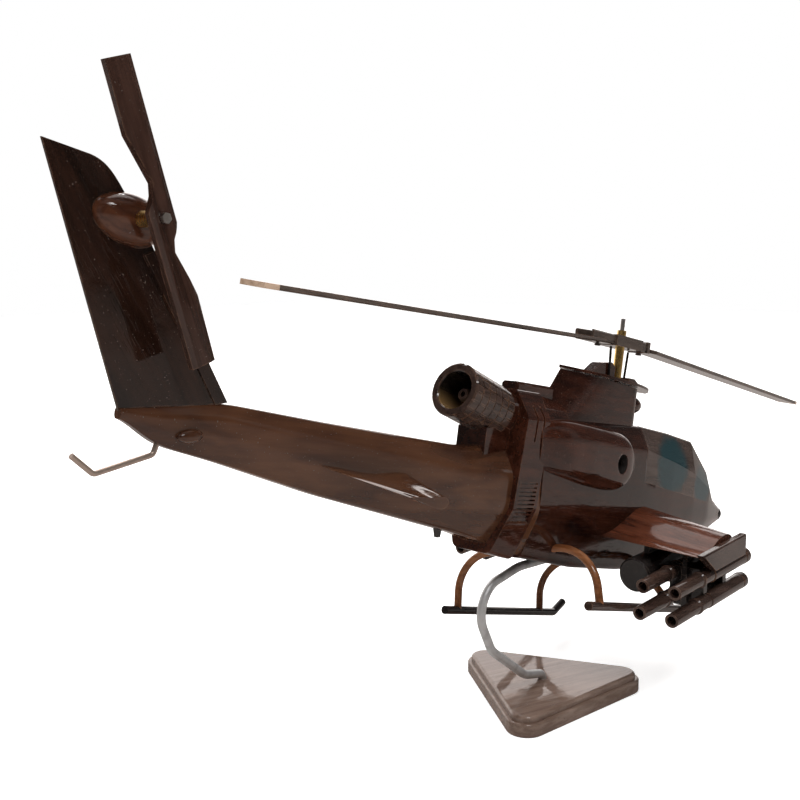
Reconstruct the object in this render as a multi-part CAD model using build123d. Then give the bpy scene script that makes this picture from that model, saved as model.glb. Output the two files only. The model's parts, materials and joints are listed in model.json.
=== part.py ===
"""Lacquered hardwood display model of a two-seat attack helicopter on a bent-rod stand.

The aircraft is drawn in its own axes, with the origin at the rotor head: +X forward, +Y to port, +Z up
along the mast.  `placed` then pitches it nose-down and lifts it over the base, so the written parts share
one frame whose origin is the centre of the underside of the base.
"""

import os
from math import atan2, cos, degrees, radians, sin, tan

from build123d import *

os.makedirs("parts", exist_ok=True)

# Stand
BASE_SIDE = 86.0  # side of the triangle before its corners are rounded
BASE_HEIGHT = 8.0
BASE_TURN = 82.0  # bearing of one corner from straight ahead
BASE_STEP = 1.6  # how far the upper edge is set back from the lower one
ROD_R = 1.75

# Aircraft attitude and place
PITCH = 10.9  # nose-down, degrees
HEAD_AHEAD = 58.0  # the rotor head stands this far ahead of the base's centre
HEAD_ABOVE = 144.1  # and this far above the ground

# Hull stations: X, then (half breadth, Z) at the deck edge, shoulder, hip and keel edge
HULL = [
    (-71, (7.0, -37.0), (13.2, -44.0), (14.0, -72.0), (7.5, -92.2)),
    (-30, (7.0, -36.6), (13.6, -44.0), (14.6, -74.0), (7.5, -97.6)),
    (10, (8.0, -35.4), (13.2, -45.0), (14.2, -75.0), (7.5, -100.0)),
    (40, (7.8, -37.0), (12.6, -50.0), (13.2, -76.0), (7.0, -99.0)),
    (66, (7.4, -39.4), (11.6, -55.0), (11.8, -77.0), (6.0, -95.0)),
    (89, (6.2, -53.0), (9.4, -62.0), (9.6, -77.0), (4.8, -88.5)),
    (101, (4.6, -66.2), (6.8, -70.0), (7.0, -77.5), (3.8, -84.0)),
    (122, (1.3, -73.2), (2.0, -74.4), (2.0, -77.0), (1.3, -78.4)),
]
BOOM = [
    (-71, (5.0, -46.0), (12.4, -60.0), (13.6, -74.0), (7.2, -91.6)),
    (-107, (4.0, -51.2), (9.8, -59.5), (10.4, -71.0), (5.0, -83.0)),
    (-180, (2.8, -47.4), (6.0, -52.5), (6.4, -61.0), (3.2, -70.2)),
    (-220, (2.2, -44.8), (4.2, -48.5), (4.4, -55.0), (2.4, -61.6)),
    (-241, (1.8, -47.4), (2.8, -50.0), (2.8, -54.5), (1.8, -57.8)),
    (-253, (1.0, -49.0), (1.4, -49.5), (1.4, -50.3), (1.0, -50.9)),
]
SILL_BACK = (12.0, -60.0)  # lower edge of the canopy block, X and Z at its back end
SILL_FRONT = (101.0, -70.0)
BAND_TOP = (-83.0, -68.0)  # X of the cowl band's two edges at the top of the engine
BAND_FOOT = (-94.5, -79.0)  # and at the keel, where it leans back
BAND_SKIN = 1.0

# Engine and exhaust
EXHAUST_REAR = (-114.5, -31.2)  # X and Z of the mouth
EXHAUST_TILT = 13.6  # mouth raised, degrees
EXHAUST_R = 10.1
EXHAUST_BORE_R = 7.0
EXHAUST_LENGTH = 25.0
TILE_COLUMNS = 20
TILE_ROWS = 6
LOUVRES = 14

# Main rotor
MAST_PIN_R = 1.0
MAST_TUBE_R = 2.0
MAST_BORE_R = 1.05
MAST_TOP = 10.6
DECK_Z = -18.6  # underside of the plate on top of the doghouse
REAR_RADIUS = 214.5  # the two blades were sawn to slightly different lengths
FRONT_RADIUS = 206.0
TIP_LENGTH = 6.0
BLADE_THICK = 1.7
DROOP = 2.6  # degrees
BLADE_PITCH = 4.0  # port edge raised on the front blade
REAR_PITCH = -6.0

# Tail rotor
TAIL_HUB = (-257.4, -15.0, -1.0)
TAIL_RADIUS = 38.6
TAIL_TURN = 27.6  # how far the upper blade leans back from the aircraft's Z
TAIL_BORE_R = 0.85
TAIL_SCREW_R = 0.8

# Wings, stores and landing gear
INCIDENCE = 12.0  # wings and stores, nose-up from the hull's axis
WING_ROLL = 6.2  # the pair of wings is set slightly rolled, port side high, degrees
TUBE_R = 3.4
TUBE_LENGTH = 65.0
SKID_R = 1.75
BOW_R = 1.6
HALF_TRACK = 33.0
GEAR_ROLL = -13.5  # the gear sits askew on the hull, starboard side high
GEAR_YAW = 3.0
GEAR_PITCH = 4.4
GUN_Z = -90.8


def section(station, edge):
    """One closed, mirrored section of a hull at its station, with its corners eased."""
    x = station[0]
    half = list(station[1:])
    outline = half + [(-y, z) for y, z in reversed(half)]
    face = make_face(Polyline(*[(x, y, z) for y, z in outline], close=True))
    shortest = min(e.length for e in face.edges())
    return fillet(face.vertices(), min(edge, 0.3 * shortest))


def hull_solid(stations, edge=2.0):
    """A solid through a row of sections, straight from each one to the next."""
    return loft([section(s, edge) for s in stations], ruled=True)


def slab(points, y0, y1):
    """A plate with the given X-Z outline between two values of Y."""
    face = make_face(Polyline(*[(x, 0, z) for x, z in points], close=True))
    return extrude(Location((0, y0, 0)) * face, amount=y1 - y0, dir=(0, 1, 0))


def rod_between(start, end, radius):
    """A round rod from one point to another."""
    run = Vector(*end) - Vector(*start)
    plane = Plane(origin=start, z_dir=run)
    return extrude(plane * Circle(radius), amount=run.length)


def bent_wire(points, bend, radius):
    """A round wire along straight runs with every corner bent to one radius."""
    path = FilletPolyline(*points, radius=bend)
    start = Plane(origin=path @ 0, z_dir=path % 0)
    return sweep(start * Circle(radius), path=path)


def lens(x_rear, x_front, y, z, thick, raise_rear=0.0):
    """A wing section in the X-Z plane: round-nosed in front and sharp at the back."""
    chord = x_front - x_rear
    rear = (x_rear, y, z + raise_rear)
    front = (x_front, y, z)
    crest = (x_rear + 0.6 * chord, y, z + thick / 2)
    hollow = (x_rear + 0.6 * chord, y, z - thick / 2)
    upper = Spline(rear, crest, front, tangents=[(1, 0, thick / chord), (0.35, 0, -1)])
    lower = Spline(front, hollow, rear, tangents=[(-0.35, 0, -1), (-1, 0, thick / chord)])
    return make_face([upper, lower])


def mirrored(part):
    """The same piece on the other side of the aircraft."""
    return mirror(part, about=Plane.XZ)


def carve(part, *neighbours):
    """The piece with its neighbours' shapes taken out; the largest solid is kept."""
    for other in neighbours:
        part = part - other
    return max(part.solids(), key=lambda s: s.volume)


def joined(*solids):
    """Several separate solids that share one node."""
    return Compound(children=[s.solid() for s in solids])


# ---------------------------------------------------------------- stand


def base_plate():
    """A triangular plinth with rounded corners and a stepped, coved edge."""
    corner = BASE_SIDE / (2 * cos(radians(30)))
    turns = [BASE_TURN + 120 * n for n in range(3)]
    points = [(corner * cos(radians(a)), corner * sin(radians(a))) for a in turns]
    outline = make_face(Polyline(*points, close=True))
    outline = fillet(outline.vertices(), 8)
    lower = extrude(outline, amount=BASE_HEIGHT - 2.6)
    lower = chamfer(lower.faces().sort_by(Axis.Z)[0].edges(), 0.4)
    lower = fillet(lower.faces().sort_by(Axis.Z)[-1].edges(), 0.8)
    step = offset(outline, amount=-BASE_STEP)
    upper = extrude(Location((0, 0, BASE_HEIGHT - 3)) * step, amount=3)
    upper = fillet(upper.faces().sort_by(Axis.Z)[-1].edges(), 1.4)
    return lower + upper


def stand_rod():
    """A round rod, bent low out of the base, looped back and brought forward into the belly."""
    points = [
        (1.4, 0, 2.4),
        (-1.8, 0, 10.2),
        (-14.0, 0, 13.4),
        (-37.0, 0, 30.5),
        (-45.0, 0, 46.0),
        (-39.5, 0, 57.0),
        (-19.0, 0, 60.0),
        (13.0, 0, 58.0),
    ]
    bends = [3.4, 12.0, 11.5, 11.5, 11.5, 30.0]
    return placed().inverse() * bent_wire(points, bends, ROD_R)


# ---------------------------------------------------------------- airframe


def sill_block():
    """Everything above the canopy's sill, forward of the doghouse."""
    (xb, zb), (xf, zf) = SILL_BACK, SILL_FRONT
    return slab([(xb, zb), (xf, zf), (xf + 8, zf), (xf + 8, 0), (xb, 0)], -40, 40)


def cowl_side():
    """A bulged engine cowl on the side of the hull, with a blunt round front."""
    outline = [(-70.5, -36.0), (-5.5, -38.6), (-5.5, -61.5), (-18.0, -65.0), (-70.5, -56.5)]
    cowl = slab(outline, -19.4, -9.0)
    outer = [e for e in cowl.edges() if e.center().Y < -19 and e.center().X > -70]
    corners = [e for e in cowl.edges() if abs(e.length - 10.4) < 0.1 and e.center().X > -40]
    cowl = fillet(outer + corners, 4.2)
    hole = rod_between((-20.6, -22, -52.3), (-20.6, -14.4, -52.3), 4.1)
    return cowl - hole


def nacelle():
    """The raised engine housing behind the doghouse, over the root of the boom."""
    stations = [
        (-52, (5.0, -30.0), (9.0, -34.0), (12.0, -42.0), (12.0, -56.0)),
        (-70, (6.0, -28.8), (11.0, -34.0), (13.2, -44.0), (13.2, -60.0)),
        (-84, (6.0, -29.2), (10.8, -34.4), (13.0, -44.0), (13.0, -60.0)),
    ]
    return hull_solid(stations, edge=2.0)


def nacelle_tail():
    """The lower housing that carries on behind the band, under the exhaust."""
    outline = [(-83.9, -42.0), (-101.0, -43.6), (-101.0, -62.0), (-83.9, -66.0)]
    tail = slab(outline, -6.6, 6.6)
    return fillet(tail.edges().filter_by(Axis.Y).sort_by(Axis.Z)[-1], 1.0)


def band_ring():
    """The solid envelope of the cowl band before its inside is cut away."""
    g = BAND_SKIN
    ends = []
    for x, keel in ((-100, -87.5), (-60, -94.5)):
        shoulder, hip = (13.0 + g, -38.0), (14.2 + g, -72.0)
        ends.append((x, (6.4, -28.8 + g), shoulder, hip, (7.4 + g, keel - g)))
    lean = [(BAND_TOP[0], -20), (BAND_TOP[1], -20), (BAND_FOOT[1], -98), (BAND_FOOT[0], -98)]
    return hull_solid(ends, edge=3.0) & slab(lean, -30, 30)


def band_middle(z):
    """X of the middle of the leaning band at a height."""
    top = sum(BAND_TOP) / 2
    foot = sum(BAND_FOOT) / 2
    return top + (foot - top) * (-20 - z) / 78


def cowl_band(inside):
    """A thin band round the engine bay: two slots above, a row of louvres below, on each side."""
    band = carve(band_ring(), *inside)
    for side in (-1, 1):
        for shift in (-1.2, 3.4):
            slot = Pos(band_middle(-36) + shift, side * 15.0, -36) * Rot(0, 8, 0) * Box(1.1, 9.0, 22)
            band -= slot
        for n in range(LOUVRES):
            z = -62.5 - 1.55 * n
            groove = Pos(band_middle(z), side * (15.4 - 0.14 * n), z) * Box(11.5, 2.0, 0.7)
            band -= groove
    return max(band.solids(), key=lambda s: s.volume)


def deck_box():
    """The small square fairing along the top of the engine housing."""
    box = Location((-68.0, 0, -27.2)) * Box(24, 8, 5.0)
    return chamfer(box.edges().filter_by(Axis.X).sort_by(Axis.Z)[-2:], 1.0)


def exhaust_frame():
    """The plane at the exhaust's mouth, looking forward along its axis."""
    x, z = EXHAUST_REAR
    t = radians(EXHAUST_TILT)
    return Plane(origin=(x, 0, z), x_dir=(0, 1, 0), z_dir=(cos(t), 0, -sin(t)))


def exhaust_can():
    """The suppressor: a thick tube whose outside is cut into rows of tiles."""
    can = extrude(Circle(EXHAUST_R), amount=EXHAUST_LENGTH)
    can -= extrude(Circle(EXHAUST_BORE_R), amount=EXHAUST_LENGTH - 6.0)
    mouth = can.edges().filter_by(GeomType.CIRCLE).sort_by(Axis.Z)[:2]
    can = chamfer(mouth, 0.5)
    for n in range(TILE_COLUMNS):
        turn = Rot(0, 0, 360 * n / TILE_COLUMNS)
        can -= turn * Pos(EXHAUST_R, 0, EXHAUST_LENGTH / 2) * Box(1.1, 0.5, EXHAUST_LENGTH)
    for n in range(1, TILE_ROWS):
        ring = Pos(0, 0, EXHAUST_LENGTH * n / TILE_ROWS) * Cylinder(EXHAUST_R + 1, 0.5)
        ring -= Pos(0, 0, EXHAUST_LENGTH * n / TILE_ROWS) * Cylinder(EXHAUST_R - 0.5, 0.5)
        can -= ring
    return exhaust_frame().location * can


def exhaust_plug():
    """The turned centre body inside the can, drilled at its tip."""
    depth = EXHAUST_LENGTH - 6.0
    outline = [(0, 5.5), (2.0, 5.5), (2.6, 6.3), (3.2, 9.0), (3.4, depth), (0, depth)]
    face = make_face(Polyline(*[(r, 0, z) for r, z in outline], close=True))
    plug = revolve(face, axis=Axis.Z)
    plug -= Pos(0, 0, 5.5) * Cylinder(1.1, 6)
    return exhaust_frame().location * plug


def exhaust_duct():
    """The smooth neck that carries the can on the back of the engine housing."""
    frame = exhaust_frame().offset(EXHAUST_LENGTH)
    rear = frame * Circle(8.4)
    front = Plane(origin=(-76.0, 0, -38.0), x_dir=(0, 1, 0), z_dir=(1, 0, 0)) * Circle(10.2)
    return loft([rear, front])


def doghouse_plan(rear, z):
    """The doghouse's outline at one height: a sharp point behind and a round front."""
    start, broad, front = (rear, 0), (4.4, 7.5), (11.8, 0)
    port = Spline(start, (-20, 6.3), broad, tangents=[(1, 0.3), (1, 0.02)])
    starboard = mirror(port, about=Plane.XZ)
    nose = ThreePointArc(broad, front, (4.4, -7.5))
    return Location((0, 0, z)) * make_face([port, nose, starboard])


def doghouse():
    """The tall fairing under the mast: a sharp raked edge at the back and round in front."""
    column = loft([doghouse_plan(-64.2, -40), doghouse_plan(-45.2, -14.8)], ruled=True)
    roof = [(-70, -41), (-70, -14.9), (-47.5, -16.2), (25, -20.4), (25, -41)]
    return column & slab(roof, -20, 20)


def deck_plate():
    """The thin plate on the doghouse, pointed at both ends and wider than it."""
    tip_rear, tip_front = (-47.5, 0), (28.0, 0)
    port = Spline(tip_rear, (-22, 9.4), (10, 9.8), tip_front)
    starboard = Spline(tip_front, (10, -9.8), (-22, -9.4), tip_rear)
    plate = extrude(make_face([port, starboard]), amount=1.1)
    slope = degrees(atan2(4.0, 68.6))
    return Location((0, 0, DECK_Z), (0, slope, 0)) * plate


def deck_block_rear():
    """The wedge-shaped fairing on the plate behind the mast."""
    ridge = [(-25.5, -15.6), (-18, -10.6), (-9.5, -9.6), (-6.5, -11.5)]
    outline = [(-25.5, -19)] + ridge + [(-6.5, -19)]
    block = slab(outline, -2.6, 2.6)
    return chamfer(block.edges().filter_by(Axis.X, 60).sort_by(Axis.Z)[-2:], 0.4)


def deck_block_front():
    """The small stepped fairing on the plate ahead of the mast."""
    outline = [(7.5, -20), (7.5, -14.8), (12.5, -14.8), (16.5, -16.6), (18.5, -18), (18.5, -21)]
    return slab(outline, -2.2, 2.2)


def deck_dome():
    """The round boss on the front of the doghouse."""
    return Location((15.0, 0, -26.4)) * ovoid(7.5, 7.5, 4.0)


def mast_plane():
    """Where the mast meets the plate."""
    return DECK_Z + 1.1


def fin():
    """The swept fin: thick at its leading edge, thin at the trailing edge, round at the top corner."""
    edge = [(-219.7, -44.0), (-241.7, -16.6), (-250.2, -5.6)]
    nose = Line((edge[0][0], 0, edge[0][1]), (edge[1][0], 0, edge[1][1]))
    shoulder = Spline(
        (-241.7, 0, -16.6),
        (-250.2, 0, -5.6),
        (-260.1, 0, 5.9),
        (-266.0, 0, 11.1),
        (-271.5, 0, 12.6),
    )
    top = Line((-271.5, 0, 12.6), (-283.3, 0, 13.4))
    back = Line((-283.3, 0, 13.4), (-253.1, 0, -49.6))
    foot = Polyline((-253.1, 0, -49.6), (-236.0, 0, -50.0), (-219.7, 0, -44.0))
    blank = extrude(make_face([nose, shoulder, top, back, foot]), amount=4, both=True, dir=(0, 1, 0))
    root = Polyline((-252.5, 0.35, -51), (-232, 2.0, -51), (-214, 2.0, -51), (-214, -2.0, -51),
                    (-232, -2.0, -51), (-252.5, -0.35, -51), close=True)
    tip = Polyline((-284.2, 0.3, 14), (-268, 1.3, 14), (-245, 1.6, 14), (-245, -1.6, 14),
                   (-268, -1.3, 14), (-284.2, -0.3, 14), close=True)
    wedge = loft([make_face(root), make_face(tip)], ruled=True)
    return blank & wedge


def fin_spine():
    """The raised shaft cover down the fin's leading edge."""
    front = [(-219.2, -44.5), (-241.9, -16.0), (-249.0, -7.2)]
    back = [(-252.2, -9.0), (-245.0, -18.2), (-223.4, -45.5)]
    return slab(front + back, -2.3, 2.3)


def ovoid(rear, front, radius):
    """A smooth egg about the X axis: two half ellipsoids of different lengths, back to back."""
    back = EllipticalCenterArc((0, 0), rear, radius, start_angle=90, arc_size=90)
    nose = EllipticalCenterArc((0, 0), front, radius, start_angle=0, arc_size=90)
    return revolve(make_face([nose, back, Line((-rear, 0), (front, 0))]), axis=Axis.X)


def tail_gearbox():
    """The egg-shaped fairing at the top of the fin that carries the tail rotor's shaft."""
    return Location((-256.5, -0.6, -1.0), (0, 6, 0)) * ovoid(11.5, 9.5, 6.6)


def boom_bump():
    """A small teardrop on the side of the boom, below the fin."""
    return Location((-231.5, -3.8, -54.5), (0, -8, 0)) * ovoid(4.6, 3.6, 1.9)


def tail_skid():
    """The bent wire that keeps the tail rotor off the ground."""
    points = [(-239.0, 0, -54.5), (-240.6, 0, -60.4), (-258.0, 0, -66.2), (-265.0, 0, -61.8)]
    return bent_wire(points, 1.7, 0.8)


def belly_aerial():
    """A small blade aerial under the boom."""
    outline = [(-117.0, -80.0), (-112.5, -80.0), (-113.2, -84.6), (-115.2, -84.6)]
    return slab(outline, -0.6, 0.6)


def stabiliser():
    """The starboard tailplane, tapered, drooped and set slightly nose-down, sharp behind."""
    root = lens(-184, -141, -5.0, -63.6, 4.4, raise_rear=3.2)
    tip = lens(-169.0, -149.8, -31.0, -67.9, 3.2, raise_rear=1.4)
    return loft([root, tip], ruled=True)


def rise(reach):
    """How much higher the port wing is than the starboard one, at a distance from the middle."""
    return 2 * reach * tan(radians(WING_ROLL))


def raised(reach):
    """The move of a port store up to its wing."""
    return Location((0, 0, rise(reach)))


def wing(rolled=False):
    """The starboard stub wing, set nose-up to the hull, or the port one before it is mirrored."""
    drop = tan(radians(INCIDENCE))
    lift = [rise(y) if rolled else 0 for y in (10, 53)]
    root = lens(-20, 21, -10.0, -74.5 + lift[0], 6.0, raise_rear=-41 * drop)
    tip = lens(-11, 19, -53.0, -79.2 + lift[1], 3.6, raise_rear=-30 * drop)
    return loft([root, tip], ruled=True)


def wing_end_plate():
    """The rail along the wing tip that carries the launcher."""
    outline = [(-15.0, -84.2), (24.5, -75.6), (26.0, -84.4), (-2.0, -90.4)]
    plate = slab(outline, -56.4, -53.0)
    top = plate.edges().filter_by(lambda e: e.center().Z > -83.5 and e.length > 20)
    return fillet(top, 0.8)


def store_frame(x, y, z):
    """A frame at the tail end of a store, its Z axis forward along the store."""
    t = radians(INCIDENCE)
    return Plane(origin=(x, y, z), x_dir=(0, 1, 0), z_dir=(cos(t), 0, sin(t))).location


def turned(profile):
    """A solid turned from a list of radius and length pairs, on the Z axis."""
    outline = [(0, profile[0][1])] + profile + [(0, profile[-1][1])]
    face = make_face(Polyline(*[(r, 0, z) for r, z in outline], close=True))
    return revolve(face, axis=Axis.Z)


def launch_tube(y, z):
    """One launcher tube: a narrow open nozzle, a collar, the tube and its front ring."""
    profile = [
        (2.8, 0),
        (2.9, 20),
        (TUBE_R, 20.6),
        (TUBE_R, 21.4),
        (3.1, 21.4),
        (3.1, 30),
        (TUBE_R, 30),
        (TUBE_R, 60.4),
        (3.1, 60.4),
        (3.1, 61.0),
        (TUBE_R + 0.1, 61.0),
        (TUBE_R + 0.1, TUBE_LENGTH - 0.8),
        (TUBE_R - 0.6, TUBE_LENGTH),
    ]
    tube = turned(profile)
    tube -= Pos(0, 0, 4.5) * Cylinder(1.9, 11)
    return store_frame(-29.0, y, z) * tube


def launcher_tubes():
    """The four tubes of the starboard launcher."""
    places = [(-38.6, -98.9), (-52.4, -98.9), (-38.6, -109.6), (-52.4, -109.6)]
    return [launch_tube(y, z) for y, z in places]


def launcher_rack():
    """The web and cross bars that hold the four tubes under the wing tip."""
    web = Pos(0, 0, 36) * Box(2.4, 18.0, 26.0)
    rack = store_frame(-29.0, -45.5, -104.25) * web
    for along in (27.0, 45.0):
        bar = Pos(0, 0, along) * Box(15.0, 16.6, 3.0)
        rack += store_frame(-29.0, -45.5, -104.25) * bar
    post = slab([(-8, -94), (12, -90), (12, -80), (-8, -84)], -46.5, -44.5)
    return rack + post


def rocket_pod():
    """The starboard rocket pod, a blunt cylinder with a tapered nose and a row of tube mouths."""
    pod = turned([(6.4, 0), (7.1, 0.7), (7.1, 40), (6.0, 46), (4.4, 49)])
    for n in range(6):
        place = Rot(0, 0, 60 * n) * Pos(3.0, 0, 48)
        pod -= place * Cylinder(0.9, 6)
    return store_frame(-14.6, -27.0, -97.4) * pod


def pod_pylon():
    """The pylon between the wing and the rocket pod."""
    return slab([(-6, -93), (20, -87.5), (18, -76), (-6, -80.5)], -28.2, -25.8)


def gear_place():
    """How the landing gear sits on the hull."""
    return Location((-19, 0, -117.0), (GEAR_ROLL, GEAR_PITCH, GEAR_YAW))


def skid_tube():
    """The starboard skid: a straight tube with its toe turned up and cut square to the ground."""
    points = [(-43.5, -HALF_TRACK, 0), (46.5, -HALF_TRACK, 0), (56.0, -HALF_TRACK, 5.0)]
    return bent_wire(points, 3.0, SKID_R)


def gear_bow(x, splay, bend):
    """One cross tube, bent down at both ends to the skids; its starboard leg may splay further."""
    rise = 23.2
    port_splay = 1.6
    right = [(x, -HALF_TRACK, 0), (x, -HALF_TRACK + splay, rise)]
    left = [(x, HALF_TRACK - port_splay, rise), (x, HALF_TRACK, 0)]
    return bent_wire(right + left, [bend, 17.0], BOW_R)


def chin_turret():
    """The round gun turret under the nose."""
    turret = Location((84, 0, -88.5)) * Cylinder(5.2, 9.0)
    return fillet(turret.edges().filter_by(GeomType.CIRCLE).sort_by(Axis.Z)[0], 1.6)


def chin_gun():
    """The short three-barrelled gun in the turret."""
    barrels = []
    for n in range(3):
        turn = radians(120 * n + 90)
        y, z = 1.1 * cos(turn), GUN_Z + 1.1 * sin(turn)
        barrels.append(rod_between((88.0, y, z), (103.0, y, z), 0.7))
    clamp = rod_between((97.0, 0, GUN_Z), (99.0, 0, GUN_Z), 2.1)
    gun = clamp
    for barrel in barrels:
        gun += barrel
    return gun


def nose_sight():
    """The sight housing in the tip of the nose."""
    sight = Location((119.5, 0, -75.6)) * Sphere(3.3)
    return sight


# ---------------------------------------------------------------- rotors


def mast_pin():
    """The fixed steel pin that the rotor turns on."""
    foot = -34
    return rod_between((0, 0, foot), (0, 0, MAST_TOP), MAST_PIN_R)


def sleeve(z0, z1, radius, bore):
    """A round sleeve round the mast pin."""
    up = (Align.CENTER, Align.CENTER, Align.MIN)
    ring = Pos(0, 0, z0) * Cylinder(radius, z1 - z0, align=up)
    return ring - Pos(0, 0, z0) * Cylinder(bore, z1 - z0, align=up)


def yoke():
    """The stepped block between the blades, forked over the rear one and notched at its ends."""
    block = Pos(-6, 0, 0) * Box(50, 9.0, 4.4)
    block = chamfer(block.edges().filter_by(Axis.X), 0.5)
    notch = make_face(Polyline((-32, -4), (-32, 4), (-24, 0), close=True))
    block -= Pos(0, 0, -4) * extrude(notch, amount=8)
    block += Pos(-1, 0, 0) * Box(23, 11.0, 4.8)
    block += Pos(17.2, 0, 0) * Box(2.2, 10.0, 5.0)
    return block


def blade_end(side):
    """Where one blade stops and its tip starts."""
    radius = FRONT_RADIUS if side > 0 else REAR_RADIUS
    return radius - TIP_LENGTH


def blade(side):
    """One flat tapering blade; its inner end is cut to a point and let into the yoke."""
    inner = 14.0
    outer = blade_end(side)
    plan = [(inner, 0), (inner + 9, 6.4), (outer, 6.0), (outer, -6.0), (inner + 9, -6.4)]
    panel = extrude(make_face(Polyline(*plan, close=True)), amount=BLADE_THICK / 2, both=True)
    panel = chamfer(panel.edges().filter_by(lambda e: e.length > 100), 0.5)
    return blade_place(side) * panel


def blade_tip(side):
    """The separate swept tip let on to the end of a blade."""
    x = blade_end(side)
    end = x + TIP_LENGTH
    plan = [(x, 6.0), (x, -6.0), (end, -4.6), (end, 6.0)]
    tip = extrude(make_face(Polyline(*plan, close=True)), amount=BLADE_THICK / 2, both=True)
    return blade_place(side) * tip


def blade_place(side):
    """A blade's place: one forward, one aft, drooped and set at a small pitch."""
    turn = 0 if side > 0 else 180
    pitch = BLADE_PITCH if side > 0 else REAR_PITCH
    return Rot(0, 0, turn) * Rot(0, DROOP, 0) * Rot(pitch, 0, 0)


def blade_bolts():
    """The two bolts up through the yoke, one for each blade, with round heads underneath."""
    bolts = []
    for x in (-19.5, 17.2):
        shank = Pos(x, 0, -0.2) * Cylinder(0.7, 5.2)
        head = Pos(x, 0, -3.1) * Cylinder(1.3, 1.0)
        bolts.append(shank + head)
    return bolts


def control_rod(y, x):
    """One thin control rod, let into the plate and ending just under the yoke."""
    foot = mast_plane() - 0.058 * x - 0.45
    return rod_between((x * 0.9, y, foot), (x, y, -2.9), 0.55)


def tail_blades():
    """The two-bladed tail rotor, one flat board with a straight edge and a paddle each way."""
    side = 3.7
    tip = TAIL_RADIUS
    neck = [(-3.1, 3.2), (-1.2, 5.8), (-0.4, 8.8), (-3.9, 21.0)]
    upper = [(-side, 2.0)] + neck + [(-side, tip), (side, tip)]
    outline = upper + [(-x, -z) for x, z in upper]
    board = slab(outline, -1.1, 1.1)
    outer = [e for e in board.edges() if e.length > 15 and e.center().Y < 0]
    board = chamfer(outer, 0.5, 1.4)
    board -= rod_between((0, -2, 0), (0, 2, 0), TAIL_BORE_R)
    return tail_place() * board


def tail_place():
    """The tail rotor's hub, with the blades leaning back."""
    return Location(TAIL_HUB, (0, -TAIL_TURN, 0))


def tail_bush():
    """The brass spacer, fixed to the gearbox, that the tail rotor turns against."""
    x, y, z = TAIL_HUB
    bush = rod_between((x, y + 1.3, z), (x, -5.0, z), 2.1)
    return bush - rod_between((x, y, z), (x, 0, z), TAIL_BORE_R)


def tail_screw():
    """The hex-headed screw that the tail rotor turns on."""
    x, y, z = TAIL_HUB
    shank = rod_between((x, y - 1.4, z), (x, 4.0, z), TAIL_SCREW_R)
    head_plane = Plane(origin=(x, y - 1.3, z), x_dir=(1, 0, 0), z_dir=(0, -1, 0))
    return shank + extrude(head_plane * RegularPolygon(1.45, 6), amount=1.0)


# ---------------------------------------------------------------- assembly


def placed():
    """From the aircraft's axes to the frame of the base."""
    return Location((HEAD_AHEAD, 0, HEAD_ABOVE), (0, PITCH, 0))


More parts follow.
